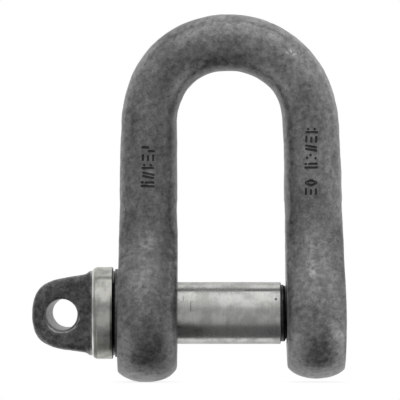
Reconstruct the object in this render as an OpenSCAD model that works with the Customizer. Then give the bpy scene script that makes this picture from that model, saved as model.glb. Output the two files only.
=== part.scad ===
// Large dee shackle with a screw collar pin: a forged U-shaped body with two
// eyes, and one screwed pin with a collar and a drilled finger tab.
// Frame: X along the pin, towards the threaded eye; Y across the body;
// Z from the pin to the crown. The origin is on the pin's axis, midway between
// the two eyes. Millimetres.

/* [Body] */
// Clear width between the two eyes
jaw_w = 33.7; // [30:0.1:38]
// Distance from the pin's axis to the centre of the crown's bend
crown_z = 57.8; // [45:0.1:80]
// Radius of the crown's bend, at the middle of the bar
crown_r = 25.1; // [23:0.1:28]
// Distance of the crown's centre from the middle of the jaw
crown_shift = -0.65; // [-1:0.05:1]
// Degrees by which the left leg opens outwards, away from the crown
left_lean = 0.3; // [0:0.1:2.5]
// Degrees by which the right leg opens outwards, away from the crown
right_lean = 2.4; // [0:0.1:2.5]
// Diameter of the bar at the crown
bar_d = 17.2; // [15:0.1:18]
// Diameter of the bar at the top of each leg
leg_top_d = 16.9; // [14.9:0.1:17.0]
// Diameter of the bar where it meets an eye
leg_d = 17.8; // [15:0.1:18.2]

/* [Eyes] */
// Thickness of each eye along the pin
eye_t = 18.2; // [16:0.1:20]
// Radius of each eye's rim
eye_r = 20.5; // [19:0.1:23]
// How far the left eye reaches lower, and the right eye higher, than the pin's axis
eye_drop = 0.6; // [0:0.1:1]
// Radius of the fillet between a leg and its eye
neck_r = 14; // [12:0.5:20]
// Diameter of the plain hole through the left eye
plain_hole_d = 20.8; // [20.2:0.1:21.5]
// Countersink at each end of both holes
hole_chamfer = 0.8; // [0.3:0.1:1.2]
// Diameter of the flat boss around the plain hole, under the collar
boss_d = 27.2; // [26:0.1:29]
// How far the boss stands out from the left eye
boss_t = 0.8; // [0.5:0.1:1.5]

/* [Pin] */
// Diameter of the pin's plain shank
shank_d = 19; // [18.5:0.1:19.4]
// Clear gap between the collar's seat and the boss
collar_gap = 0.15; // [0.15:0.05:0.4]
// Diameter of the collar
collar_d = 28.2; // [25:0.1:32]
// Thickness of the collar along the pin
collar_t = 6.4; // [5:0.1:8]
// Chamfer around the collar's tab side
collar_chamfer = 1; // [0.5:0.1:1.5]
// Diameter of the collar's raised seat, which meets the boss
seat_d = 26; // [24:0.1:27]
// How far the seat stands out from the collar
seat_t = 0.4; // [0.3:0.1:0.8]
// How far the shank stops short of the threaded eye
shoulder_gap = 2; // [1.8:0.1:3]
// How far the pin's tip lies inside the threaded eye's outer face
tip_inset = 1.45; // [1.4:0.05:2.5]

/* [Thread] */
// Outer diameter of the pin's thread
thread_d = 17.7; // [17:0.1:18]
// Distance between threads
thread_pitch = 2.5; // [2:0.5:3]
// Depth of the thread
thread_depth = 1.3; // [0.8:0.1:1.5]
// Radial clearance between the two threads' crests
thread_clear = 0.15; // [0.1:0.05:0.3]

/* [Tab] */
// Length of the tab past the collar
tab_l = 18.55; // [17:0.05:22]
// Radius of the tab's rounded end
tab_r = 11.4; // [10.5:0.1:12]
// Thickness of the tab
tab_t = 9; // [7:0.5:11]
// Width of the tab where it meets the collar
tab_root_w = 24.4; // [22:0.1:26]
// Diameter of the hole through the tab
tab_hole_d = 9.4; // [8:0.1:10]
// Distance of the hole's centre past the collar
tab_hole_x = 9.2; // [9:0.05:10]
// How far the hole's centre lies below the pin's axis
tab_hole_drop = 0.6; // [0:0.1:1]
// Countersink at each end of the tab's hole
tab_hole_chamfer = 0.85; // [0.3:0.05:1]

/* [Hidden] */
$fn = 96;
eps = 0.01;
eye_in = jaw_w / 2;                       // each eye's inner face
eye_out = eye_in + eye_t;                 // each eye's outer face
eye_x = eye_in + eye_t / 2;               // each eye's middle
boss_x = -eye_out - boss_t;               // the boss's face
seat_x = boss_x - collar_gap;             // the seat's face
collar_in = seat_x - seat_t;              // the collar's face by the eye
collar_out = collar_in - collar_t;        // the collar's face by the tab
shoulder_x = eye_in - shoulder_gap;       // where the shank ends
tip_x = eye_out - tip_inset;              // the pin's tip
tap_r = thread_d / 2 + thread_clear;      // crest radius of the tapped hole
// The fillet's centre: neck_r clear of the eye's rim and, less the depth that
// the neck's top edge sinks into the leg, of the leg's side.
neck_sink = 0.4;
neck_y = leg_d / 2 - neck_sink + neck_r;
neck_z = sqrt(pow(eye_r + neck_r, 2) - pow(neck_y, 2));
// Where the fillet meets the rim.
meet_y = eye_r * neck_y / (eye_r + neck_r);
meet_z = eye_r * neck_z / (eye_r + neck_r);
// side is -1 left, 1 right
function lean(side) = side < 0 ? left_lean : right_lean;
// A leg's length from the bend down to 4 mm inside its eye's neck
function leg_l(side) =
    (crown_z + crown_r * sin(lean(side)) - neck_z + 4 - side * eye_drop) / cos(lean(side));

// Turns a shape drawn about Z so that its axis lies along +X.
module along_x() rotate([0, 90, 0]) children();

// A ring of V-shaped cuts, one for each thread, from x0 to x1 at radius r.
// way is 1 for cuts that go outwards from a hole, -1 for cuts into a shaft.
module thread_rings(x0, x1, r, way) {
    n = floor((x1 - x0) / thread_pitch);
    for (i = [0:n - 1])
        along_x() translate([0, 0, x0 + i * thread_pitch])
            rotate_extrude()
                polygon([
                    [r - way * eps * 4, 0],
                    [r, 0],
                    [r + way * thread_depth, thread_pitch * 0.44],
                    [r + way * thread_depth, thread_pitch * 0.56],
                    [r, thread_pitch],
                    [r - way * eps * 4, thread_pitch]
                ]);
}

// One eye with the neck that widens down from the round leg: turned about the
// leg, then cut to the eye's two flat sides. Centred on x, its rim about z.
module eye(x, z)
    translate([x, 0, z])
        intersection() {
            rotate_extrude() {
                intersection() {
                    circle(r = eye_r);
                    translate([0, -eye_r - 1]) square([eye_r + 1, 2 * eye_r + 2]);
                }
                difference() {
                    polygon([
                        [0, 0], [meet_y, 0], [meet_y, meet_z],
                        [neck_y, neck_z], [0, neck_z]
                    ]);
                    translate([neck_y, neck_z]) circle(r = neck_r);
                }
            }
            translate([-eye_t / 2, -eye_r - 1, -eye_r - 1])
                cube([eye_t, 2 * eye_r + 2, eye_r + neck_z + 2]);
        }

// A leg: it leaves the crown's bend along its tangent, 2 mm inside it, and ends
// inside the eye's neck, on the eye's middle plane. side is -1 left, 1 right.
module leg(side)
    translate([crown_shift, 0, crown_z])
        rotate([0, -side * lean(side), 0])
            translate([side * crown_r, 0, -leg_l(side)])
                cylinder(d1 = leg_d, d2 = leg_top_d, h = leg_l(side) + 2);

module shackle_body() {
    color([0.42, 0.42, 0.42])
        difference() {
            union() {
                // crown
                translate([crown_shift, 0, crown_z])
                    rotate([90, 0, 0]) rotate([0, 0, right_lean])
                        rotate_extrude(angle = 180 - left_lean - right_lean)
                            translate([crown_r, 0]) circle(d = bar_d);
                for (side = [-1, 1]) {
                    leg(side);
                    eye(side * eye_x, side * eye_drop);
                }
                // boss under the collar
                along_x() translate([0, 0, boss_x]) cylinder(d = boss_d, h = boss_t + 1);
            }
            // plain hole through the left eye
            along_x() translate([0, 0, boss_x - 1])
                cylinder(d = plain_hole_d, h = eye_t + boss_t + 2);
            // tapped hole through the right eye
            along_x() translate([0, 0, eye_in - 1]) cylinder(r = tap_r, h = eye_t + 2);
            thread_rings(eye_in + 0.9, eye_out, tap_r, 1);
            // countersinks
            for (face = [[boss_x, plain_hole_d / 2, 1], [-eye_in, plain_hole_d / 2, -1],
                         [eye_in, tap_r, 1], [eye_out, tap_r, -1]])
                translate([face[0], 0, 0]) rotate([0, 90 * face[2], 0])
                    translate([0, 0, -eps])
                        cylinder(r1 = face[1] + hole_chamfer + eps, r2 = face[1], h = hole_chamfer + eps);
        }
}

// The pin's round parts in one turning: collar, seat, shank, thread and tip.
module pin_turning()
    along_x()
        rotate_extrude()
            polygon([
                [0, collar_out],
                [collar_d / 2 - collar_chamfer, collar_out],
                [collar_d / 2, collar_out + collar_chamfer],
                [collar_d / 2, collar_in - 0.3],
                [collar_d / 2 - 0.3, collar_in],
                [seat_d / 2, collar_in],
                [seat_d / 2, seat_x],
                [shank_d / 2, seat_x],
                [shank_d / 2, shoulder_x],
                [thread_d / 2, shoulder_x],
                [thread_d / 2, tip_x - thread_depth],
                [thread_d / 2 - thread_depth, tip_x],
                [0, tip_x]
            ]);

// The flat tab, as an outline seen from the front.
module tab_outline() {
    end_x = collar_out - tab_l + tab_r;
    translate([end_x, 0]) circle(r = tab_r);
    polygon([
        [end_x, tab_r], [end_x, -tab_r],
        [collar_out + 0.5, -tab_root_w / 2], [collar_out + 0.5, tab_root_w / 2]
    ]);
}

module screw_pin() {
    color([0.62, 0.62, 0.6])
        difference() {
            union() {
                pin_turning();
                rotate([90, 0, 0]) translate([0, 0, -tab_t / 2])
                    linear_extrude(height = tab_t) tab_outline();
            }
            thread_rings(shoulder_x + 0.3, tip_x - 0.8, thread_d / 2, -1);
            // hole through the tab, countersunk on both sides
            translate([collar_out - tab_hole_x, 0, -tab_hole_drop]) {
                rotate([90, 0, 0]) cylinder(d = tab_hole_d, h = tab_t + 2, center = true);
                for (side = [-1, 1])
                    rotate([side * 90, 0, 0]) translate([0, 0, tab_t / 2 - tab_hole_chamfer])
                        cylinder(
                            r1 = tab_hole_d / 2,
                            r2 = tab_hole_d / 2 + tab_hole_chamfer + eps,
                            h = tab_hole_chamfer + eps
                        );
            }
        }
}

shackle_body();
screw_pin();
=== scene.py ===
"""Large dee shackle with a screw collar pin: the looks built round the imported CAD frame.

The forged body and the pin's tab are shaped as smooth distance fields and meshed here;
the turned parts, the two helical threads and the stamped marks are cut into them.
Lengths in the helpers are millimetres in the row frame, and become metres in new_object().
"""

import math

import bpy
import numpy as np
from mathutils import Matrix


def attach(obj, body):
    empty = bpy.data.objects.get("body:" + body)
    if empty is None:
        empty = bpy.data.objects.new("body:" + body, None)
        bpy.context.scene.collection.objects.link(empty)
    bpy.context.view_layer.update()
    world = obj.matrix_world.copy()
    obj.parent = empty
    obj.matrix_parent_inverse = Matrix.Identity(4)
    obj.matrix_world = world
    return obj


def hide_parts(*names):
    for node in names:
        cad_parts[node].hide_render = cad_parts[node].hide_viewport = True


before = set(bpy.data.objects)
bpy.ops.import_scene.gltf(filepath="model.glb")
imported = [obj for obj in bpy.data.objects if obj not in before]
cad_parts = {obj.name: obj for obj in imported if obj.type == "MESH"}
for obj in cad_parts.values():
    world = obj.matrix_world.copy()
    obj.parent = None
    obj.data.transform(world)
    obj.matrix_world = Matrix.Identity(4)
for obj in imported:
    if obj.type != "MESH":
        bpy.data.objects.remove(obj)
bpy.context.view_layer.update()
scene = bpy.context.scene

# ---------------------------------------------------------------- measurements

CROWN = (-0.66, 57.77)  # centre of the bend, X and Z
# Along the bar: (Z, outer edge, inner edge) of each leg, from the bend down.
LEFT = [
    (57.2, 33.88, 16.92), (53.5, 34.00, 16.93), (49.8, 34.20, 16.95), (46.1, 34.31, 16.93),
    (42.4, 34.43, 16.90), (38.8, 34.43, 16.87), (35.1, 34.43, 16.87), (31.4, 34.46, 16.84),
    (27.7, 34.54, 16.79), (24.1, 34.52, 16.79), (20.4, 34.56, 16.77), (16.7, 34.60, 16.76),
    (13.0, 34.74, 16.78), (6.0, 35.00, 16.82), (0.0, 35.10, 16.84), (-8.0, 35.12, 16.84),
    (-14.0, 35.05, 16.90), (-24.0, 35.00, 16.95),
]
RIGHT = [
    (57.2, 32.72, 15.45), (53.5, 32.77, 15.78), (49.8, 32.96, 15.88), (46.1, 33.22, 15.94),
    (42.4, 33.40, 15.88), (38.8, 33.43, 15.88), (35.1, 33.47, 15.90), (31.4, 33.60, 15.96),
    (27.7, 33.85, 16.22), (24.1, 33.90, 16.40), (20.4, 33.95, 16.42), (16.7, 34.02, 16.43),
    (13.0, 34.16, 16.46), (6.0, 34.56, 16.68), (0.0, 34.72, 16.82), (-8.0, 34.74, 16.78),
    (-14.0, 34.56, 16.98), (-24.0, 34.40, 17.10),
]
# Round the bend from left (180) to right (0): (degrees, outer radius, inner radius).
BEND = [
    (180, 33.22, 16.24), (170, 33.17, 16.36), (160, 33.28, 16.58), (150, 33.59, 16.76),
    (140, 33.92, 17.05), (130, 34.00, 17.03), (120, 34.02, 16.98), (110, 33.83, 16.90),
    (100, 33.76, 16.62), (90, 33.70, 16.46), (80, 33.65, 16.50), (70, 33.62, 16.48),
    (60, 33.50, 16.48), (50, 33.48, 16.58), (40, 33.28, 16.68), (30, 33.08, 16.66),
    (20, 33.10, 16.42), (10, 33.10, 16.20), (0, 33.26, 16.06),
]
# The eyes: middle X, half thickness, rim radius, Z of the rim's centre.
EYES = {-1: (-26.40, 9.35, 20.50, -0.60), 1: (25.90, 9.08, 20.55, 0.60)}
RIM = {-1: 5.4, 1: 5.1}  # how far in from the rim its rounding starts
BOSS_X, BOSS_R = -35.85, 13.5
SEAT_X, SEAT_R = -36.0, 13.0
COLLAR = (-42.8, -36.4, 14.1)
SHANK_R, SHOULDER_X, TIP_X = 9.5, 14.85, 33.6
CREST_R, ROOT_R, PITCH = 8.85, 7.55, 2.5
TAP_R, TAP_ROOT = 9.0, 10.3
PLAIN_R = 10.4
# The tab seen from the front: (X, top Z, bottom Z), from its end to the collar.
TAB = [
    (-61.28, 0.9, -1.5), (-61.12, 2.5, -3.1), (-60.75, 4.05, -4.75), (-60.2, 5.5, -6.15),
    (-59.5, 6.75, -7.35), (-58.6, 7.8, -8.4), (-57.5, 8.7, -9.25), (-56.2, 9.45, -9.9),
    (-54.8, 10.0, -10.4), (-53.2, 10.45, -10.8), (-51.4, 10.8, -11.15), (-49.4, 11.15, -11.45),
    (-47.4, 11.45, -11.7), (-45.6, 11.75, -11.9), (-44.4, 12.05, -12.15), (-43.5, 12.45, -12.55),
    (-42.2, 12.9, -12.9), (-41.4, 12.9, -12.9),
]
TAB_T = 9.0
# The hole leans a little through the tab: (Y, middle X, middle Z, radius).
TAB_HOLE = np.array([
    (-6.0, -52.15, -0.85, 6.3), (-4.6, -52.15, -0.85, 5.55), (-3.9, -52.12, -0.75, 5.02), (-3.0, -52.05, -0.45, 4.70),
    (0.0, -51.35, -0.15, 4.52), (3.0, -50.55, 0.12, 4.46), (3.9, -50.45, 0.15, 4.85), (4.6, -50.4, 0.15, 5.35), (6.0, -50.4, 0.15, 6.1),
])

CELL = 0.56  # mesh size of the forged body


# ---------------------------------------------------------------- numbers

def smooth_table(points, sigma=3.0, step=0.25):
    """Points (s, value, value...) as evenly spaced columns with their jumps softened."""
    p = np.array(sorted(points), float)
    s = np.arange(p[0, 0], p[-1, 0] + step, step)
    reach = int(4 * sigma / step)
    kernel = np.exp(-0.5 * (np.arange(-reach, reach + 1) * step / sigma) ** 2)
    kernel /= kernel.sum()
    columns = []
    for k in range(1, p.shape[1]):
        v = np.interp(s, p[:, 0], p[:, k])
        v = np.pad(v, reach, mode="reflect", reflect_type="odd")
        columns.append(np.convolve(v, kernel, mode="valid"))
    return s, columns


def bar_tables():
    """Along the whole bar: distance of its middle from the bend's centre line, and its half width."""
    rows = []
    bend_r = 25.0
    for z, out, inn in LEFT:
        rows.append((z - CROWN[1], (out + inn) / 2 + CROWN[0], (out - inn) / 2))
    for a, out, inn in BEND[1:-1]:
        rows.append((math.radians(180 - a) * bend_r, (out + inn) / 2, (out - inn) / 2))
    for z, out, inn in RIGHT:
        rows.append((math.pi * bend_r + CROWN[1] - z, (out + inn) / 2 - CROWN[0], (out - inn) / 2))
    return smooth_table(rows, 2.5), bend_r


(BAR_S, (BAR_C, BAR_W)), BEND_R = bar_tables()
SIDES = {
    -1: smooth_table([(z, -(o + i) / 2, (o - i) / 2) for z, o, i in LEFT], 3.0),
    1: smooth_table([(z, (o + i) / 2, (o - i) / 2) for z, o, i in RIGHT], 3.0),
}


def smin(a, b, k):
    h = np.maximum(k - np.abs(a - b), 0.0) / k
    return np.minimum(a, b) - h * h * k / 4


def smax(a, b, k):
    return -smin(-a, -b, k)


def body_field(p):
    """Distance to the forged body's skin, negative inside, at points p."""
    x, y, z = p[..., 0], p[..., 1], p[..., 2]
    dx, dz = x - CROWN[0], z - CROWN[1]
    up = dz > 0
    angle = np.arctan2(np.maximum(dz, 0), dx)
    s = np.where(up, (math.pi - angle) * BEND_R, np.where(dx < 0, dz, math.pi * BEND_R - dz))
    u = np.where(up, np.hypot(dx, dz), np.abs(dx))
    c = np.interp(s, BAR_S, BAR_C)
    w = np.interp(s, BAR_S, BAR_W)
    low = np.maximum(-2.0 - z, 0)
    bar = np.sqrt((u - c) ** 2 + y * y + low * low) - w - 0.07
    # the two eyes
    left = x < 0
    ex = np.where(left, EYES[-1][0], EYES[1][0])
    ea = np.where(left, EYES[-1][1], EYES[1][1])
    er = np.where(left, EYES[-1][2], EYES[1][2])
    ez = np.where(left, EYES[-1][3], EYES[1][3])
    rim = np.where(left, RIM[-1], RIM[1])
    px = np.abs(x - ex) + 1e-4
    m = np.maximum(np.hypot(y, z - ez) - (er - rim), 0)
    k0 = np.sqrt((px / ea) ** 2 + (m / rim) ** 2)
    k1 = np.sqrt((px / ea ** 2) ** 2 + (m / rim ** 2) ** 2)
    eye = k0 * (k0 - 1) / k1
    d = smin(bar, eye, 12.0)
    # the dies' flat sides
    zs = np.clip(z, -24, 57)
    sc = np.where(left, np.interp(zs, SIDES[-1][0], SIDES[-1][1][0]), np.interp(zs, SIDES[1][0], SIDES[1][1][0]))
    sw = np.where(left, np.interp(zs, SIDES[-1][0], SIDES[-1][1][1]), np.interp(zs, SIDES[1][0], SIDES[1][1][1]))
    flat = np.abs(x - sc) - sw - 0.07 - np.maximum(z - 34, 0) * 0.6
    return smax(d, flat, 0.4)


def noise(p, lump, seed):
    """Smooth noise, about -1 to 1, with lumps of that size."""
    rng = np.random.default_rng(seed)
    perm = rng.permutation(256)
    grads = rng.normal(size=(256, 3))
    grads /= np.linalg.norm(grads, axis=1)[:, None]
    q = p / lump + 100.0
    i = np.floor(q).astype(np.int64)
    f = q - i
    w = f * f * f * (f * (f * 6 - 15) + 10)
    out = np.zeros(len(p))
    for a in (0, 1):
        for b in (0, 1):
            for c in (0, 1):
                h = perm[(perm[(perm[(i[:, 0] + a) & 255] + i[:, 1] + b) & 255] + i[:, 2] + c) & 255]
                corner = np.array([a, b, c])
                weight = np.prod(np.where(corner == 1, w, 1 - w), axis=1)
                out += weight * ((f - corner) * grads[h]).sum(axis=1)
    return out * 1.6


def surface_net(field, lo, hi, h):
    """A quad mesh of field == 0: one vertex in each cell that it crosses."""
    axes = [np.arange(lo[k], hi[k] + h, h) for k in range(3)]
    n = [len(a) for a in axes]
    d = np.empty(n, np.float32)
    yz = np.stack(np.meshgrid(axes[1], axes[2], indexing="ij"), axis=-1)
    for i, x in enumerate(axes[0]):
        p = np.concatenate([np.full(yz.shape[:2] + (1,), x), yz], axis=-1)
        d[i] = field(p)
    inside = d < 0
    count = np.zeros([k - 1 for k in n], np.uint8)
    corners = [(a, b, c) for a in (0, 1) for b in (0, 1) for c in (0, 1)]
    for a, b, c in corners:
        count += inside[a:n[0] - 1 + a, b:n[1] - 1 + b, c:n[2] - 1 + c]
    active = (count > 0) & (count < 8)
    index = np.full(active.shape, -1, np.int64)
    cells = np.argwhere(active)
    index[active] = np.arange(len(cells))
    pos = np.zeros((len(cells), 3))
    hits = np.zeros(len(cells))
    for a in corners:
        for axis in range(3):
            if a[axis]:
                continue
            b = list(a)
            b[axis] = 1
            da = d[tuple((cells + a).T)]
            db = d[tuple((cells + b).T)]
            cross = (da < 0) != (db < 0)
            t = np.where(cross, da / np.where(cross, da - db, 1), 0)
            point = np.array(a, float) + t[:, None] * (np.array(b, float) - np.array(a, float))
            pos += np.where(cross[:, None], point, 0)
            hits += cross
    verts = (cells + pos / hits[:, None]) * h + np.array(lo, float)
    quads = []
    for axis in range(3):
        u, v = (axis + 1) % 3, (axis + 2) % 3
        a = np.take(inside, range(n[axis] - 1), axis=axis)
        b = np.take(inside, range(1, n[axis]), axis=axis)
        for outward in (True, False):
            edges = np.argwhere((a & ~b) if outward else (~a & b))
            ok = (edges[:, u] > 0) & (edges[:, u] < n[u] - 1) & (edges[:, v] > 0) & (edges[:, v] < n[v] - 1)
            edges = edges[ok]
            ring = []
            for du, dv in ((1, 1), (0, 1), (0, 0), (1, 0)):
                cell = edges.copy()
                cell[:, u] -= du
                cell[:, v] -= dv
                ring.append(index[tuple(cell.T)])
            ring = np.stack(ring, axis=1)
            quads.append(ring if outward else ring[:, ::-1])
    return verts, np.concatenate(quads)


def gradient(field, p, e=0.05):
    g = np.empty_like(p)
    for k in range(3):
        step = np.zeros(3)
        step[k] = e
        g[:, k] = (field(p + step) - field(p - step)) / (2 * e)
    return g


def settle(field, verts, quads, rounds=4):
    """Spreads the vertices evenly over the skin and puts them exactly on it."""
    a = np.concatenate([quads[:, k] for k in range(4)])
    b = np.concatenate([quads[:, (k + 1) % 4] for k in range(4)])
    degree = np.bincount(a, minlength=len(verts)) + np.bincount(b, minlength=len(verts))
    for turn in range(rounds):
        g = gradient(field, verts)
        length = np.linalg.norm(g, axis=1)[:, None] + 1e-9
        normal = g / length
        if turn < rounds - 1:
            mean = np.stack(
                [
                    (np.bincount(a, verts[b, k], len(verts)) + np.bincount(b, verts[a, k], len(verts))) / degree
                    for k in range(3)
                ],
                axis=1,
            )
            move = mean - verts
            move -= normal * (move * normal).sum(axis=1)[:, None]
            verts = verts + 0.7 * move
        d = field(verts)[:, None]
        verts = verts - np.clip(d / length, -0.6, 0.6) * normal
    g = gradient(field, verts)
    return verts, g / (np.linalg.norm(g, axis=1)[:, None] + 1e-9)


# ---------------------------------------------------------------- meshes

def new_object(name, verts, faces):
    mesh = bpy.data.meshes.new(name)
    verts = np.asarray(verts, float) / 1000.0
    mesh.from_pydata(verts.tolist(), [], [list(map(int, f)) for f in faces])
    mesh.validate()
    mesh.update()
    obj = bpy.data.objects.new(name, mesh)
    scene.collection.objects.link(obj)
    return obj


def combine(obj, other, operation):
    """Cuts other out of obj, or joins it to obj, as solids."""
    done = None
    for solver in ("MANIFOLD", "EXACT"):
        modifier = obj.modifiers.new("solid", "BOOLEAN")
        modifier.operation = operation
        modifier.object = other
        modifier.solver = solver
        bpy.context.view_layer.update()
        depsgraph = bpy.context.evaluated_depsgraph_get()
        done = bpy.data.meshes.new_from_object(obj.evaluated_get(depsgraph))
        obj.modifiers.clear()
        if len(done.polygons) not in (0, len(obj.data.polygons)):
            break
        print("boolean fell back from", solver, obj.name, other.name)
    obj.data = done
    obj.data.name = obj.name
    bpy.data.objects.remove(other)
    return obj


def round_profile(points, n=4):
    """Points (x, r, radius): the corner at each becomes an arc of that radius."""
    out = []
    for k, (x, r, radius) in enumerate(points):
        if radius <= 0 or k in (0, len(points) - 1):
            out.append((x, r))
            continue
        p = np.array([x, r])
        a = np.array(points[k - 1][:2]) - p
        b = np.array(points[k + 1][:2]) - p
        la, lb = np.linalg.norm(a), np.linalg.norm(b)
        a, b = a / la, b / lb
        half = math.acos(max(-1, min(1, float(a @ b)))) / 2
        back = min(radius / math.tan(half), la * 0.49, lb * 0.49)
        start, end = p + a * back, p + b * back
        out.append(tuple(start + a * min(0.05, la * 0.01)))
        for i in range(n + 1):
            t = i / n
            out.append(tuple((1 - t) ** 2 * start + 2 * t * (1 - t) * p + t * t * end))
        out.append(tuple(end + b * min(0.05, lb * 0.01)))
    return out


def lathe(name, rings, sides):
    """A closed mesh turned about X from rings (x, radius or radii round the ring)."""
    angle = np.arange(sides) * 2 * math.pi / sides
    verts, faces = [], []
    for x, r in rings:
        r = np.broadcast_to(np.asarray(r, float), (sides,))
        verts.append(np.stack([np.full(sides, x), r * np.cos(angle), r * np.sin(angle)], axis=1))
    first, last = len(rings) * sides, len(rings) * sides + 1
    verts = np.concatenate(verts + [np.array([[rings[0][0], 0, 0], [rings[-1][0], 0, 0]])])
    ids = np.arange(sides)
    nxt = (ids + 1) % sides
    for k in range(len(rings) - 1):
        a, b = k * sides, (k + 1) * sides
        faces += np.stack([a + ids, a + nxt, b + nxt, b + ids], axis=1).tolist()
    faces += np.stack([np.full(sides, first), nxt, ids], axis=1).tolist()
    top = (len(rings) - 1) * sides
    faces += np.stack([np.full(sides, last), top + ids, top + nxt], axis=1).tolist()
    return new_object(name, verts, [f[::-1] for f in faces])


def thread_radius(x, crest, root, sides):
    """Radii round the ring at x of a right-hand 60-degree thread, crest outwards if crest > root."""
    angle = np.arange(sides) * 2 * math.pi / sides
    phase = (x / PITCH - angle / (2 * math.pi)) % 1.0
    ramp = np.clip((np.abs(phase - 0.5) * 2 - 0.16) / 0.66, 0, 1)  # 0 on the crest, 1 in the root
    ramp = ramp * ramp * (3 - 2 * ramp) * 0.35 + ramp * 0.65
    return crest + (root - crest) * ramp


def tube(points, radius, closed, sides=8):
    """Verts and faces of a round bar along a line of points, with rounded ends unless closed."""
    p = np.array(points, float)
    n = len(p)
    if closed:
        t = np.roll(p, -1, axis=0) - np.roll(p, 1, axis=0)
    else:
        t = np.gradient(p, axis=0)
    t /= np.linalg.norm(t, axis=1)[:, None]
    up = np.array([0.0, 1.0, 0.0])
    side = np.cross(t, up)
    side /= np.linalg.norm(side, axis=1)[:, None]
    over = np.cross(side, t)
    angle = np.arange(sides) * 2 * math.pi / sides
    rings = [(p[k], side[k], over[k], radius) for k in range(n)]
    if not closed:
        head = [(p[0] - t[0] * radius * s, side[0], over[0], radius * c) for s, c in ((0.87, 0.5), (0.5, 0.87))]
        tail = [(p[-1] + t[-1] * radius * s, side[-1], over[-1], radius * c) for s, c in ((0.5, 0.87), (0.87, 0.5))]
        rings = head + rings + tail
    verts = np.concatenate(
        [c + r * (np.cos(angle)[:, None] * a + np.sin(angle)[:, None] * b) for c, a, b, r in rings]
    )
    count = len(rings)
    faces = []
    for k in range(count if closed else count - 1):
        a, b = k * sides, ((k + 1) % count) * sides
        for j in range(sides):
            m = (j + 1) % sides
            faces.append((a + j, a + m, b + m, b + j))
    if not closed:
        faces.append(tuple(range(sides))[::-1])
        faces.append(tuple((count - 1) * sides + j for j in range(sides)))
    return verts, faces


# ---------------------------------------------------------------- materials

def grey(v):
    return (v, v, v, 1.0)


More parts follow.
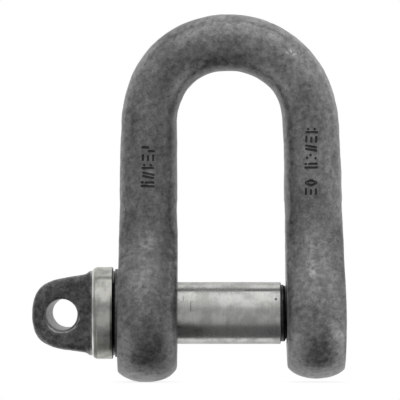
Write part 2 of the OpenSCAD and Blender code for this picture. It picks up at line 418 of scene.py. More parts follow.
class Nodes:
    """Short helpers for one material's node tree."""

    def __init__(self, name, slot_color):
        self.material = bpy.data.materials.new(name)
        self.material.use_nodes = True
        self.material.diffuse_color = slot_color
        self.tree = self.material.node_tree
        self.tree.nodes.clear()
        self.output = self.tree.nodes.new("ShaderNodeOutputMaterial")
        self.shader = self.tree.nodes.new("ShaderNodeBsdfPrincipled")
        self.link(self.shader.outputs[0], self.output.inputs["Surface"])
        source = self.tree.nodes.new("ShaderNodeTexCoord")
        self.coords, self.normals = source.outputs["Object"], source.outputs["Normal"]

    def link(self, a, b):
        self.tree.links.new(a, b)

    def put(self, socket, value):
        if hasattr(value, "is_output"):
            self.link(value, socket)
        else:
            socket.default_value = value

    def mapped(self, scale=(1, 1, 1), location=(0, 0, 0)):
        node = self.tree.nodes.new("ShaderNodeMapping")
        self.link(self.coords, node.inputs["Vector"])
        node.inputs["Scale"].default_value = scale
        node.inputs["Location"].default_value = location
        return node.outputs[0]

    def noise(self, lump_mm, detail=3.0, rough=0.55, vector=None, offset=0.0, distortion=0.0):
        node = self.tree.nodes.new("ShaderNodeTexNoise")
        self.link(vector or self.mapped(location=(offset, offset * 1.7, offset * 0.6)), node.inputs["Vector"])
        node.inputs["Scale"].default_value = 1000.0 / lump_mm
        node.inputs["Detail"].default_value = detail
        node.inputs["Roughness"].default_value = rough
        node.inputs["Distortion"].default_value = distortion
        return node.outputs[0]

    def ramp(self, value, low, high, out_low=0.0, out_high=1.0, smooth=True):
        node = self.tree.nodes.new("ShaderNodeMapRange")
        node.interpolation_type = "SMOOTHSTEP" if smooth else "LINEAR"
        self.put(node.inputs["Value"], value)
        for name, v in (("From Min", low), ("From Max", high), ("To Min", out_low), ("To Max", out_high)):
            node.inputs[name].default_value = v
        return node.outputs["Result"]

    def math(self, operation, a, b=0.0):
        node = self.tree.nodes.new("ShaderNodeMath")
        node.operation = operation
        self.put(node.inputs[0], a)
        self.put(node.inputs[1], b)
        return node.outputs[0]

    def mix(self, factor, a, b):
        node = self.tree.nodes.new("ShaderNodeMix")
        node.data_type = "RGBA"
        self.put(node.inputs[0], factor)
        self.put(node.inputs[6], a)
        self.put(node.inputs[7], b)
        return node.outputs[2]

    def axis(self, k, vector=None):
        """One coordinate: in metres, unless another vector is given."""
        node = self.tree.nodes.new("ShaderNodeSeparateXYZ")
        self.link(vector or self.coords, node.inputs[0])
        return node.outputs[k]

    def steps(self, value, stops):
        """A value that runs smoothly through stops (millimetres, value)."""
        node = self.tree.nodes.new("ShaderNodeFloatCurve")
        lo, hi = stops[0][0], stops[-1][0]
        self.put(node.inputs["Value"], self.ramp(value, lo / 1000, hi / 1000, 0.0, 1.0, False))
        curve = node.mapping.curves[0]
        points = [((x - lo) / (hi - lo), v / 2) for x, v in stops]
        curve.points[0].location, curve.points[1].location = points[0], points[-1]
        for point in points[1:-1]:
            curve.points.new(*point)
        node.mapping.update()
        return self.math("MULTIPLY", node.outputs[0], 2.0)

    def tint(self, color, factor):
        """color times a number."""
        node = self.tree.nodes.new("ShaderNodeVectorMath")
        node.operation = "SCALE"
        self.put(node.inputs[0], color)
        self.put(node.inputs["Scale"], factor)
        return node.outputs[0]

    def bump(self, height, depth_mm, strength=1.0, normal=None):
        node = self.tree.nodes.new("ShaderNodeBump")
        node.inputs["Strength"].default_value = strength
        node.inputs["Distance"].default_value = depth_mm / 1000.0
        self.link(height, node.inputs["Height"])
        if normal is not None:
            self.link(normal, node.inputs["Normal"])
        return node.outputs[0]

    def patch(self, x, z, wide, tall, level):
        """level at a spot on the front of the object, down to 0 at its soft oval edge."""
        node = self.tree.nodes.new("ShaderNodeVectorMath")
        node.operation = "LENGTH"
        scale = (1000 / wide, 1000 / 24.0, 1000 / tall)
        self.link(self.mapped(scale, (-x / wide, 14.0 / 24.0, -z / tall)), node.inputs[0])
        return self.ramp(node.outputs["Value"], 0.35, 1.0, level, 0.0)

    def finish(self, color, metallic, roughness, normal=None):
        self.put(self.shader.inputs["Base Color"], color)
        self.put(self.shader.inputs["Metallic"], metallic)
        self.put(self.shader.inputs["Roughness"], roughness)
        if normal is not None:
            self.link(normal, self.shader.inputs["Normal"])
        return self.material


def forged_material(name, level, dark=0.62, light=1.40, roughness=0.37, scuffs_and_painted_light=True, tab=False):
    """Dark forging scale: cloudy patches, mottling, pits and a few worn bright specks, and on the body and tab also
    painted light and shade.
    """
    n = Nodes(name, grey(level))
    cloud = n.noise(11.0, 3.0, 0.5)
    patch = n.noise(3.4, 3.0, 0.55, offset=0.93)
    mottle = n.noise(1.5, 4.0, 0.6, offset=0.31)
    grain = n.noise(0.5, 3.0, 0.6, offset=0.77)
    pits = n.noise(1.0, 2.0, 0.5, offset=0.53)
    value = n.math("MULTIPLY", n.ramp(cloud, 0.3, 0.7, 0.90, 1.10, False), n.ramp(patch, 0.3, 0.7, 0.84, 1.16, False))
    value = n.math("MULTIPLY", value, n.ramp(mottle, 0.28, 0.72, dark, light, False))
    fine = 0.34 if tab else 0.20
    value = n.math("MULTIPLY", value, n.ramp(grain, 0.25, 0.75, 1.0 - fine, 1.0 + fine, False))
    pit = n.ramp(pits, 0.30, 0.40, 1.0, 0.0)
    value = n.math("MULTIPLY", value, n.ramp(pit, 0.0, 1.0, 1.0, 0.78, False))
    if tab:
        # painted highlight and edge wear: the narrow sides, which face up and down, and the root by the collar are
        # painted brighter than the flat faces
        face = n.math("ABSOLUTE", n.axis(1, n.normals))
        worn_and_lit = n.math("MULTIPLY", n.ramp(face, 0.35, 0.85, 1.8, 1.0), n.ramp(n.axis(0), -0.0436, -0.0432, 1.0, 1.9))
        # inside the drilled hole the steel is bare
        off = [n.math("SUBTRACT", n.axis(a), n.math("MULTIPLY", n.steps(
            n.axis(1), [(y, v / low) for y, v in zip(TAB_HOLE[:, 0], TAB_HOLE[:, k])]), low / 1000.0))
            for a, k, low in ((0, 1, -52.5), (2, 2, -1.0))]
        away = n.math("SQRT", n.math("ADD", n.math("POWER", off[0], 2.0), n.math("POWER", off[1], 2.0)))
        away = n.math("SUBTRACT", away, n.math("MULTIPLY", n.steps(
            n.axis(1), [(y, v / 7.0) for y, v in zip(TAB_HOLE[:, 0], TAB_HOLE[:, 3])]), 0.007))
        wall = n.ramp(n.math("ADD", away, n.math("MULTIPLY", n.math("SUBTRACT", patch, 0.5), 0.0005)), 0.00012, 0.00024, 1.0, 0.0)
        calm = n.ramp(value, 0.4, 1.6, 0.7, 1.3, False)
        bare = n.math("MULTIPLY", calm, 0.33 / level)
        value = n.math("MULTIPLY", value, worn_and_lit)
        value = n.math("ADD", value, n.math("MULTIPLY", wall, n.math("SUBTRACT", bare, value)))
    color = n.tint((level * 1.0, level * 0.997, level * 0.992), value)
    if scuffs_and_painted_light:
        # painted light and shade, slowly changing across and along the body: darker on the legs' inner sides, which
        # face each other, and lighter to the right; darker low on the eyes and across the necks, lighter at the eyes'
        # bottom rims
        across = n.steps(n.axis(0), [
            (-35, 0.98), (-30, 0.94), (-27, 0.94), (-24, 0.85), (-20.5, 0.65), (-17.5, 0.74), (-9, 0.91),
            (0, 1.0), (9, 1.08), (16, 1.05), (21, 1.06), (27, 1.04), (35, 1.08),
        ])
        along = n.steps(n.axis(2), [
            (-21, 1.10), (-17, 0.95), (-13, 0.77), (-9, 0.82), (-4, 0.97), (2, 1.00), (7, 0.94),
            (12, 0.87), (17, 0.81), (22, 0.80), (28, 0.88), (36, 0.96), (60, 0.99), (92, 1.0),
        ])
        # painted highlight round the bend's outer rim and painted shade round its inner side, only up on the bend
        bend = n.math("SQRT", n.math("ADD", n.math("POWER", n.math("ADD", n.axis(0), 0.00066), 2.0),
                                     n.math("POWER", n.math("SUBTRACT", n.axis(2), 0.05777), 2.0)))
        bend = n.math("ADD", n.math("ADD", n.ramp(bend, 0.0275, 0.0310, 0.0, 0.20), n.ramp(bend, 0.0165, 0.0215, -0.28, 0.0)),
                      n.ramp(bend, 0.0312, 0.0325, 0.0, 0.14))
        bend = n.math("MULTIPLY", bend, n.ramp(n.axis(2), 0.056, 0.070))
        painted_shading = n.math("MULTIPLY", n.math("MULTIPLY", across, along), n.math("ADD", 1.0, bend))
        color = n.tint(color, painted_shading)
        # painted light and painted shade in soft patches on the front, where each leg widens, broken up by the scale's
        # pattern
        for x, z, wide, tall, gain in (
                (-26.2, 21.5, 3.4, 6.5, 0.24), (-27.8, 7.0, 2.4, 7.0, 0.18), (-33.8, 18.0, 1.8, 7.0, 0.40),
                (-18.0, 17.0, 2.4, 7.5, 0.62), (-20.0, 4.0, 3.4, 8.0, 0.24), (24.3, 15.5, 1.3, 11.0, 0.34), (26.8, 17.0, 2.6, 7.0, 0.08),
                (20.4, 17.0, 3.2, 8.5, -0.22), (17.6, 18.0, 1.4, 6.0, 0.36), (-25.6, -4.0, 3.2, 6.0, -0.25),
                (26.5, -5.5, 9.0, 6.0, 0.14), (-22.3, -8.5, 2.4, 5.0, -0.26), (28.2, -9.5, 2.6, 5.0, 0.24)):
            painted_light_patch = n.math("MULTIPLY", n.patch(x, z, wide, tall, gain), n.ramp(patch, 0.36, 0.60, 0.15, 1.35))
            color = n.tint(color, n.math("ADD", 1.0, painted_light_patch))
        # painted shade on the boss beside the collar: its colour is halved there
        color = n.tint(color, n.ramp(n.axis(0), -0.0354, -0.0351, 0.5, 1.0))
        rub = n.math("MULTIPLY", n.ramp(n.noise(0.8, 4.0, 0.7, offset=1.9), 0.53, 0.60), n.patch(18.3, 79.6, 3.2, 1.5, 1.0))
        color = n.mix(rub, color, grey(0.66))
    normal = n.bump(pit, 0.05, 0.7)
    normal = n.bump(patch, 0.15, 0.35, normal)
    normal = n.bump(mottle, 0.12, 0.45, normal)
    normal = n.bump(grain, 0.05, 0.5, normal)
    rough = n.ramp(mottle, 0.3, 0.7, roughness - 0.05, roughness + 0.07, False)
    n.shader.inputs["Specular Tint"].default_value = (0.82, 0.82, 0.82, 1.0)
    return n.finish(color, 1.0, rough, normal)


def turned_material(name, level, roughness, stain=0.35, metallic=0.9, collar=False, shank=False):
    """Lathe-turned steel: fine rings round X, with soft stains and short scratches."""
    n = Nodes(name, (level[0], level[1], level[2], 1.0))
    rings = n.noise(1.0, 2.0, 0.7, vector=n.mapped(scale=(9.0, 0.35, 0.35)))
    broad = n.noise(1.0, 2.0, 0.5, vector=n.mapped(scale=(1.6, 0.12, 0.12), location=(0.3, 0, 0)))
    cloud = n.noise(5.0, 4.0, 0.6, offset=0.9)
    specks = n.noise(0.9, 3.0, 0.6, offset=0.4)
    value = n.math("MULTIPLY", n.ramp(rings, 0.3, 0.7, 0.93, 1.05, False), n.ramp(broad, 0.3, 0.7, 0.95, 1.04, False))
    value = n.math("MULTIPLY", value, n.ramp(cloud, 0.35, 0.62, 1.0 - stain, 1.03))
    value = n.math("MULTIPLY", value, n.ramp(specks, 0.30, 0.40, 0.80, 1.0))
    olive = n.ramp(n.noise(6.5, 3.0, 0.55, offset=2.3), 0.42, 0.62, 0.0, 0.55 if collar else 0.22)
    base = n.mix(olive, (level[0], level[1], level[2], 1), (level[0] * 1.0, level[1] * 1.0, level[2] * 0.88, 1))
    color = n.tint(base, value)
    if shank:
        # painted shade along its upper and lower limbs, dimming their rim light
        color = n.tint(color, n.ramp(n.math("ABSOLUTE", n.axis(2)), 0.0084, 0.0088, 1.0, 0.88))
        # painted shade low down by the plain eye, then a nick and two short scratches
        painted_shade_low = n.math("MULTIPLY", n.patch(-16.0, -5.2, 11.0, 3.6, 0.62), n.ramp(cloud, 0.3, 0.6, 1.3, 0.7))
        color = n.tint(color, n.math("SUBTRACT", 1.0, painted_shade_low))
        for x, z, wide, tall, level_ in ((13.3, 4.4, 0.6, 0.6, 1.0), (-12.7, 2.2, 0.24, 2.6, 0.7), (-14.9, 4.6, 0.2, 1.6, 0.5)):
            color = n.tint(color, n.math("SUBTRACT", 1.0, n.math("MULTIPLY", n.patch(x, z, wide, tall, level_), 0.8)))
    normal = n.bump(rings, 0.012, 0.45)
    normal = n.bump(cloud, 0.05, 0.25, normal)
    rough = n.math("ADD", n.ramp(cloud, 0.35, 0.6, roughness + 0.10, roughness, True), n.ramp(rings, 0.3, 0.7, -0.02, 0.03, False))
    n.shader.inputs["Specular Tint"].default_value = (0.72, 0.72, 0.71, 1.0)
    if collar:
        # painted shade on the lower half of the chamfer by the tab, and on a strip beside the eye, darkest just below
        # the middle
        painted_shade_strip = n.math("MULTIPLY", n.ramp(n.axis(0), -0.0425, -0.0423), n.ramp(n.axis(0), -0.0416, -0.0410, 1.0, 0.0))
        painted_shade_strip = n.math("MULTIPLY", painted_shade_strip, n.ramp(n.axis(2), -0.0075, 0.0030, 0.66, 0.0))
        color = n.tint(color, n.math("SUBTRACT", 1.0, painted_shade_strip))
        painted_shade_strip = n.math("MULTIPLY", n.ramp(n.axis(0), -0.03745, -0.03725), n.steps(n.axis(2), [
            (-15.0, 0.0), (-12.0, 0.2), (-10.5, 0.62), (-4.0, 0.74), (-1.0, 0.60), (4.0, 0.55), (6.5, 0.12), (15.0, 0.0)]))
        color = n.tint(color, n.math("SUBTRACT", 1.0, painted_shade_strip))
        # a bare bright corner by the tab, and painted shade in the crevice by the eye: a black ring, blackest across
        # the pin's middle, which also loses its specular
        color = n.mix(n.ramp(n.axis(0), -0.04235, -0.04225, 1.0, 0.0), color, n.tint((0.90, 0.90, 0.88), value))
        around = n.ramp(n.math("ABSOLUTE", n.axis(2)), 0.0088, 0.0108, 1.0, 0.45)
        crevice_shade = n.math("MULTIPLY", n.ramp(n.axis(0), -0.03680, -0.03668), around)
        color = n.mix(crevice_shade, color, grey(0.01))
        n.put(n.shader.inputs["Specular IOR Level"], n.math("MULTIPLY", n.math("SUBTRACT", 1.0, crevice_shade), 0.5))
    return n.finish(color, metallic, rough, normal)


FORGED = forged_material("forged_scale", 0.225)
FORGED_TAB = forged_material("forged_tab", 0.110, dark=0.44, light=1.65, roughness=0.42, scuffs_and_painted_light=False, tab=True)
BORE = turned_material("bored_steel", (0.34, 0.335, 0.325), 0.38)
TURNED = turned_material("turned_steel", (0.58, 0.58, 0.57), 0.17, 0.24, 0.88, shank=True)
COLLAR_STEEL = turned_material("turned_collar", (0.55, 0.55, 0.525), 0.15, 0.42, 0.66, collar=True)
THREAD = forged_material("oiled_thread", 0.075, dark=0.7, light=1.3, roughness=0.40, scuffs_and_painted_light=False)
MARK = forged_material("mark_floor", 0.07, dark=0.7, light=1.3, roughness=0.55, scuffs_and_painted_light=False)


def face_table(obj):
    """Middle and normal of each face, in millimetres."""
    mesh = obj.data
    mid = np.empty(len(mesh.polygons) * 3, np.float32)
    nor = np.empty(len(mesh.polygons) * 3, np.float32)
    mesh.polygons.foreach_get("center", mid)
    mesh.polygons.foreach_get("normal", nor)
    return mid.reshape(-1, 3).astype(float) * 1000, nor.reshape(-1, 3).astype(float)


def dress(obj, materials, index, sharp=38.0):
    mesh = obj.data
    mesh.materials.clear()
    for m in materials:
        mesh.materials.append(m)
    mesh.polygons.foreach_set("material_index", np.asarray(index, np.int32))
    mesh.shade_smooth()
    mesh.set_sharp_from_angle(angle=math.radians(sharp))
    mesh.update()


# ---------------------------------------------------------------- forged body

def forged_body():
    verts, quads = surface_net(body_field, (-37.0, -21.8, -22.6), (36.4, 21.8, 92.8), CELL)
    verts, normal = settle(body_field, verts, quads)
    lumps = 0.11 * noise(verts, 9.0, 11) + 0.075 * noise(verts, 4.2, 12) + 0.045 * noise(verts, 2.0, 13)
    # dents left by scale and handling
    rng = np.random.default_rng(5)
    pick = rng.choice(len(verts), 90, replace=False)
    dents = np.zeros(len(verts))
    for k in pick:
        size = rng.uniform(0.7, 1.9)
        deep = rng.uniform(0.05, 0.16)
        near = np.linalg.norm(verts - verts[k], axis=1) / size
        dents = np.maximum(dents, deep * np.exp(-near * near * 2.2))
    # the eyes' flat faces are truer than the forged skin
    flat = np.clip((np.abs(normal[:, 0]) - 0.9) / 0.1, 0, 1) * (verts[:, 2] < 16)
    verts = verts + normal * ((lumps - dents) * (1 - 0.65 * flat))[:, None]
    # stay inside the frame's own box
    verts[:, 0] = np.minimum(verts[:, 0], 35.03)
    verts[:, 1] = np.clip(verts[:, 1], -20.49, 20.49)
    verts[:, 2] = np.clip(verts[:, 2], -21.09, 91.48)
    return new_object("shackle_forging", verts, quads)


def bore_cutter(sides):
    """The plain hole with its countersinks."""
    rings = [
        (BOSS_X - 1.2, PLAIN_R + 0.75), (BOSS_X, PLAIN_R + 0.75), (BOSS_X + 0.75, PLAIN_R),
        (-30.0, PLAIN_R), (-22.0, PLAIN_R), (-17.55, PLAIN_R), (-16.8, PLAIN_R + 0.75), (-15.0, PLAIN_R + 0.75),
    ]
    return lathe("plain_bore", rings, sides)


def tap_cutter(sides):
    """The tapped hole: a helical thread with countersinks."""
    step = 0.125
    rings = []
    inner, outer = 16.8, 34.9
    for x in np.concatenate([[inner - 1.6], np.arange(inner - 0.2, outer + 0.2, step), [outer + 1.6]]):
        cone = max(TAP_R + 1.35 - abs(x - inner), TAP_R + 1.35 - abs(outer - x))
        if x < inner or x > outer:
            r = np.full(sides, TAP_R + 1.35)
        else:
            r = np.maximum(thread_radius(x, TAP_R, TAP_ROOT, sides), cone)
        rings.append((x, r))
    return lathe("tapped_bore", rings, sides)


def skin_y(x, z):
    """The front skin of the body at X, Z."""
    lo, hi = np.full(len(x), -24.0), np.full(len(x), -3.0)
    for _ in range(28):
        mid = (lo + hi) / 2
        out = body_field(np.stack([x, mid, z], axis=1)) > 0
        lo, hi = np.where(out, mid, lo), np.where(out, hi, mid)
    return (lo + hi) / 2


def marks_cutter():
    """Two rows of plain tool marks, as small loops, dashes and dots: no letters or digits."""
    def loop(corners):
        pts = []
        for k in range(len(corners)):
            a, b = np.array(corners[k], float), np.array(corners[(k + 1) % len(corners)], float)
            for t in (0.10, 0.37, 0.63, 0.90):
                pts.append(a + (b - a) * t)
        return pts, True

    def dash(a, b):
        a, b = np.array(a, float), np.array(b, float)
        return [a + (b - a) * t for t in np.linspace(0, 1, 5)], False

    # each sign is about 1.6 along the row and 2 high, centred on 0
    signs = {
        "bars": [dash((-0.65, -0.95), (-0.65, 0.95)), dash((0.45, -0.95), (0.45, 0.30)), dash((0.45, 0.85), (0.45, 0.95))],
        "steps": [dash((-0.65, -0.95), (-0.65, -0.15)), dash((0.4, 0.05), (0.4, 0.95))],
        "dashes": [dash((-0.7, 0.85), (0.7, 0.85)), dash((-0.7, 0.0), (0.4, 0.0)), dash((-0.7, -0.85), (0.7, -0.85))],
        "hatch": [dash((-0.85, -0.8), (-0.25, 0.85)), dash((0.1, -0.85), (0.75, 0.8))],
        "dots": [dash((-0.45, 0.75), (-0.4, 0.75)), dash((0.45, 0.15), (0.5, 0.15)), dash((-0.45, -0.7), (-0.4, -0.7))],
        "diamond": [loop([(0, -1.0), (0.8, 0), (0, 1.0), (-0.8, 0)])],
        "pair": [dash((-0.5, -0.9), (-0.5, 0.9)), dash((0.35, 0.6), (0.4, 0.6)), dash((0.35, -0.5), (0.4, -0.5))],
        "gap": [],
    }
    rows = [
        # middle X, lowest Z, advance, height scale, lean, signs
        (-25.70, 39.5, 2.68, 1.85, 0.0, ["bars", "hatch", "pair", "dashes", "steps"]),
        (24.0, 37.2, 2.66, 1.80, 0.02, ["dashes", "diamond", "gap", "bars", "dots", "hatch", "dashes", "pair"]),
    ]
    verts, faces, base = [], [], 0
    rng = np.random.default_rng(3)
    for mid_x, z0, advance, scale, lean, names in rows:
        for k, name in enumerate(names):
            wobble, tilt = rng.uniform(-0.12, 0.12), rng.uniform(-0.05, 0.05)
            for pts, closed in signs[name]:
                p = np.array(pts, float) * np.array([1.02, scale])
                c, s = math.cos(tilt), math.sin(tilt)
                along, across = p[:, 0] * c - p[:, 1] * s, p[:, 0] * s + p[:, 1] * c
                # the row runs up the leg, so a sign's top points left
                x = mid_x - across + wobble + lean * k
                z = z0 + k * advance + along
                y = skin_y(x, z) - 0.06
                v, f = tube(np.stack([x, y, z], axis=1), 0.40, closed)
                verts.append(v)
                faces += [tuple(i + base for i in face) for face in f]
                base += len(v)
    obj = new_object("marks", np.concatenate(verts), faces)
    orient(obj)
    return obj


def orient(obj):
    """Makes every face of a closed mesh point outwards."""
    import bmesh

    bm = bmesh.new()
    bm.from_mesh(obj.data)
    bmesh.ops.recalc_face_normals(bm, faces=bm.faces)
    bm.to_mesh(obj.data)
    bm.free()


def build_body():
    sides = 160
    body = forged_body()
    boss = lathe(
        "boss",
        round_profile([(-33.5, 0, 0), (-33.5, BOSS_R, 0), (BOSS_X, BOSS_R, 0.22), (BOSS_X, 0, 0)][::-1]),
        sides,
    )
    orient(boss)
    combine(body, boss, "UNION")
    for cutter in (bore_cutter(sides), tap_cutter(sides)):
        orient(cutter)
        combine(body, cutter, "DIFFERENCE")
    combine(body, marks_cutter(), "DIFFERENCE")
    mid, normal = face_table(body)
    radial = np.hypot(mid[:, 1], mid[:, 2])
    index = np.zeros(len(mid), int)
    turned = (radial < PLAIN_R + 1.3) & (np.abs(mid[:, 0]) > 16.2) & (np.abs(mid[:, 0]) < 36.2)
    inward = (normal[:, 1] * mid[:, 1] + normal[:, 2] * mid[:, 2]) / np.maximum(radial, 1e-6)
    index[turned & (inward < -0.12)] = 1
    deep = body_field(mid) < -0.14
    index[deep & (mid[:, 2] > 30) & (mid[:, 1] < -4) & (normal[:, 1] > -2)] = 2
    dress(body, [FORGED, BORE, MARK], index)
    return body


# ---------------------------------------------------------------- screw pin

def polygon_distance(x, z, pts):
    """Distance from points to a closed outline in XZ, negative inside."""
    best = np.full(x.shape, 1e9)
    winding = np.zeros(x.shape, bool)
    n = len(pts)
    for k in range(n):
        (ax, az), (bx, bz) = pts[k], pts[(k + 1) % n]
        ex, ez = bx - ax, bz - az
        t = np.clip(((x - ax) * ex + (z - az) * ez) / (ex * ex + ez * ez), 0, 1)
        best = np.minimum(best, np.hypot(x - ax - t * ex, z - az - t * ez))
        crosses = ((az <= z) & (bz > z)) | ((bz <= z) & (az > z))
        where = ax + (z - az) / np.where(ez == 0, 1, ez) * ex
        winding ^= crosses & (x < where)
    return np.where(winding, -best, best)


TAB_OUTLINE = [(x, t) for x, t, b in TAB] + [(x, b) for x, t, b in TAB[::-1]]
def tab_field(p):
    x, y, z = p[..., 0], p[..., 1], p[..., 2]
    flat = polygon_distance(x, z, TAB_OUTLINE)
    r = 2.3
    # the faces taper a little towards the end
    half = TAB_T / 2 - np.clip((-50.0 - x) * 0.035, 0, 0.4)
    a, b = flat + r, np.abs(y) - half + r
    d = np.minimum(np.maximum(a, b), 0) + np.hypot(np.maximum(a, 0), np.maximum(b, 0)) - r
    # root fillet into the collar's face
    disc = np.maximum(COLLAR[0] + 0.06 - x, np.hypot(y, z) - 12.85)
    d = smin(d, disc, 2.6)
    # and inside the face's own corner
    d = smax(d, np.hypot(y, z) - 12.9, 0.25)
    d = np.maximum(d, x + 41.9)
    cx, cz, cr = (np.interp(y, TAB_HOLE[:, 0], TAB_HOLE[:, k]) for k in (1, 2, 3))
    hole = np.hypot(x - cx, z - cz) - cr
    return smax(d, -hole, 0.9)


def forged_tab():
    h = 0.42
    verts, quads = surface_net(tab_field, (-62.4, -13.6, -14.2), (-41.2, 13.6, 14.2), h)
    verts, normal = settle(tab_field, verts, quads)
    amount = 0.09 * noise(verts, 5.0, 21) + 0.06 * noise(verts, 2.3, 22) + 0.03 * noise(verts, 1.2, 23)
    amount = np.where(verts[:, 0] > -43.2, 0, amount)
    verts = verts + normal * amount[:, None]
    verts[:, 0] = np.maximum(verts[:, 0], -61.33)
    return new_object("tab_forging", verts, quads)


def build_pin():
    sides = 160
    step = 0.125
    c0, c1, cr = COLLAR
    profile = round_profile([
        (c0, 0, 0), (c0, 13.1, 0.1), (-42.25, 13.65, 0.15), (-41.75, 13.96, 0.25), (-41.2, cr, 0.25),
        (c1, cr, 0.5), (c1, SEAT_R, 0.12), (SEAT_X, SEAT_R, 0.18),
        (SEAT_X, SHANK_R, 0.25), (SHOULDER_X, SHANK_R, 0.3), (SHOULDER_X, CREST_R - 0.15, 0.12), (SHOULDER_X + 0.7, CREST_R - 0.15, 0),
    ])
    rings = []
    for (x, r), (x2, r2) in zip(profile, profile[1:]):
        rings.append((x, r))
        # extra rings on the faces and on the long plain parts
        pieces = int(max(abs(x2 - x), abs(r2 - r)) / 1.6)
        for k in range(1, pieces):
            t = k / pieces
            rings.append((x + (x2 - x) * t, r + (r2 - r) * t))
    rings = [(x, max(r, 0.4)) for x, r in rings]
    start, end = SHOULDER_X + 0.7, TIP_X
    for x in np.arange(start, end + 1e-6, step):
        lead = min((x - start) / 1.2, 1.0)
        r = thread_radius(x, CREST_R, ROOT_R, sides)
        r = (CREST_R - 0.15) * (1 - lead) + r * lead
        r = np.minimum(r, ROOT_R - 0.15 + (TIP_X - x) * 1.0)
        rings.append((x, r))
    tip = float(np.min(rings[-1][1]))
    for r in (tip - 0.15, 5.5, 3.5, 1.5, 0.4):
        rings.append((TIP_X, r))
    pin = lathe("screw_pin_visual", rings, sides)
    orient(pin)
    tab = forged_tab()
    orient(tab)
    combine(pin, tab, "UNION")
    mid, normal = face_table(pin)
    x = mid[:, 0]
    index = np.zeros(len(mid), int)
    index[x < -35.9] = 1
    index[x > SHOULDER_X + 0.04] = 2
    index[x < c0 - 0.003] = 3
    index[(x > TIP_X - 0.01) & (normal[:, 0] > 0.9)] = 4
    dress(pin, [TURNED, COLLAR_STEEL, THREAD, FORGED_TAB, BORE], index)
    return pin


body = build_body()
pin = build_pin()
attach(body, "shackle")
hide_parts("shackle_body")
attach(pin, "pin")
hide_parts("screw_pin")


# ---------------------------------------------------------------- stage

FLOOR_Z = -0.0211


def floor():
    mesh = bpy.data.meshes.new("floor")
    s = 30.0
    mesh.from_pydata([(-s, -s, FLOOR_Z), (s, -s, FLOOR_Z), (s, s, FLOOR_Z), (-s, s, FLOOR_Z)], [], [(0, 1, 2, 3)])
    obj = bpy.data.objects.new("floor", mesh)
    scene.collection.objects.link(obj)
    material = bpy.data.materials.new("pale_floor")
    material.use_nodes = True
    tree = material.node_tree
    tree.nodes.clear()
    out = tree.nodes.new("ShaderNodeOutputMaterial")
    glow = tree.nodes.new("ShaderNodeEmission")
    # painted contact shadow: the floor glows a little dimmer where the object is near, from ambient occlusion, as it
    # takes no real shadows
    near = tree.nodes.new("ShaderNodeAmbientOcclusion")
    near.inputs["Distance"].default_value = 0.005
    near.samples = 8
    level = tree.nodes.new("ShaderNodeMapRange")
    level.inputs["From Min"].default_value = 0.0
    level.inputs["From Max"].default_value = 0.9
    level.inputs["To Min"].default_value = 0.88
    level.inputs["To Max"].default_value = 1.0
    tree.links.new(near.outputs["AO"], level.inputs["Value"])
    tree.links.new(level.outputs["Result"], glow.inputs["Strength"])
    glow.inputs["Color"].default_value = (1, 1, 1, 1)
    tree.links.new(glow.outputs[0], out.inputs["Surface"])
    mesh.materials.append(material)
    obj.visible_diffuse = False
    obj.visible_glossy = False
    obj.visible_transmission = False
    obj.visible_shadow = False
    return obj


floor()


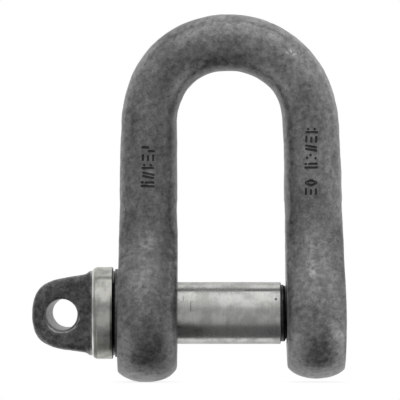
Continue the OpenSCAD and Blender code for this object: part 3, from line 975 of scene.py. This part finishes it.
def studio():
    """Soft light that depends only on direction: a bright sheet behind, a large soft light above
    and in front, mid grey round the camera, and dark below it."""
    world = bpy.data.worlds.new("studio")
    scene.world = world
    world.use_nodes = True
    tree = world.node_tree
    tree.nodes.clear()
    out = tree.nodes.new("ShaderNodeOutputWorld")
    coords = tree.nodes.new("ShaderNodeTexCoord")
    split = tree.nodes.new("ShaderNodeSeparateXYZ")
    tree.links.new(coords.outputs["Generated"], split.inputs[0])
    dx, dy, dz = split.outputs

    def put(socket, value):
        if hasattr(value, "is_output"):
            tree.links.new(value, socket)
        else:
            socket.default_value = value

    def calc(operation, a, b=0.0):
        node = tree.nodes.new("ShaderNodeMath")
        node.operation = operation
        put(node.inputs[0], a)
        put(node.inputs[1], b)
        return node.outputs[0]

    def span(value, low, high, out_low, out_high):
        node = tree.nodes.new("ShaderNodeMapRange")
        node.interpolation_type = "SMOOTHSTEP"
        put(node.inputs["Value"], value)
        for name, v in (("From Min", low), ("From Max", high), ("To Min", out_low), ("To Max", out_high)):
            node.inputs[name].default_value = v
        return node.outputs["Result"]

    def blend(factor, a, b):
        # a + (b - a) * factor
        return calc("ADD", a, calc("MULTIPLY", calc("SUBTRACT", b, a), factor))

    # height above the camera's direction, from -180 to 180 degrees, as 0 to 1
    height = calc("ARCTAN2", dz, calc("MULTIPLY", dy, -1.0))
    height = calc("ADD", calc("DIVIDE", height, 2 * math.pi), 0.5)
    ramp = tree.nodes.new("ShaderNodeValToRGB")
    ramp.color_ramp.interpolation = "LINEAR"
    tree.links.new(height, ramp.inputs[0])
    stops = [
        (-180, 0.96), (-112, 0.96), (-104, 0.12), (-95, 0.09), (-52, 0.11), (-38, 0.37), (-22, 0.49),
        (17, 0.52), (28, 0.90), (60, 1.12), (93, 1.24), (97, 0.26), (104, 0.20), (109, 0.96), (180, 0.96),
    ]
    elements = ramp.color_ramp.elements
    while len(elements) > 1:
        elements.remove(elements[-1])
    elements[0].position = 0.0
    elements[0].color = grey(stops[0][1])
    for angle, value in stops[1:]:
        e = elements.new((angle + 180) / 360)
        e.color = grey(value)
    bright = ramp.outputs[0]
    across = calc("ABSOLUTE", dx)
    below = span(dz, -0.25, 0.1, 1.0, 0.0)
    dark_x = calc("ABSOLUTE", calc("SUBTRACT", dx, 0.07))
    side = blend(below, span(across, 0.45, 0.92, 0.0, 1.0), span(dark_x, 0.24, 0.64, 0.0, 1.0))
    gain = calc("MULTIPLY", span(dz, -0.8, -0.42, 1.0, 0.0), span(dx, -0.6, 0.6, 1.3, 0.6))
    far = calc("ADD", span(dx, -0.85, -0.6, 0.9, 0.0), span(dx, 0.55, 0.85, 0.0, 2.0))
    gain = calc("ADD", gain, calc("MULTIPLY", far, span(dz, -0.52, -0.34, 1.0, 0.0)))
    edge = calc("ADD", span(dx, -0.6, 0.6, 0.47, 0.60), span(dx, 0.75, 0.97, 0.0, 0.16))
    edge = calc("MULTIPLY", edge, calc("ADD", 1.0, gain))
    level = blend(side, bright, edge)
    level = blend(span(dy, 0.36, 0.58, 0.0, 1.0), level, 1.04)

    lit = tree.nodes.new("ShaderNodeBackground")
    tree.links.new(level, lit.inputs["Color"])
    plain = tree.nodes.new("ShaderNodeBackground")
    plain.inputs["Color"].default_value = (1, 1, 1, 1)
    path = tree.nodes.new("ShaderNodeLightPath")
    choose = tree.nodes.new("ShaderNodeMixShader")
    tree.links.new(path.outputs["Is Camera Ray"], choose.inputs[0])
    tree.links.new(lit.outputs[0], choose.inputs[1])
    tree.links.new(plain.outputs[0], choose.inputs[2])
    tree.links.new(choose.outputs[0], out.inputs["Surface"])


studio()
scene.view_settings.view_transform = "Standard"
scene.view_settings.look = "None"
scene.view_settings.exposure = 0.0

camera = bpy.data.cameras.new("camera")
camera.sensor_width = 36.0
camera.sensor_fit = "HORIZONTAL"
camera.lens = 36.0 * 1800.0 / 122.58
camera.clip_start = 0.1
camera.clip_end = 100.0
camera_object = bpy.data.objects.new("camera", camera)
scene.collection.objects.link(camera_object)
camera_object.location = (-0.009852, -1.8, 0.03463)
camera_object.rotation_euler = (math.pi / 2, 0, 0)
scene.camera = camera_object
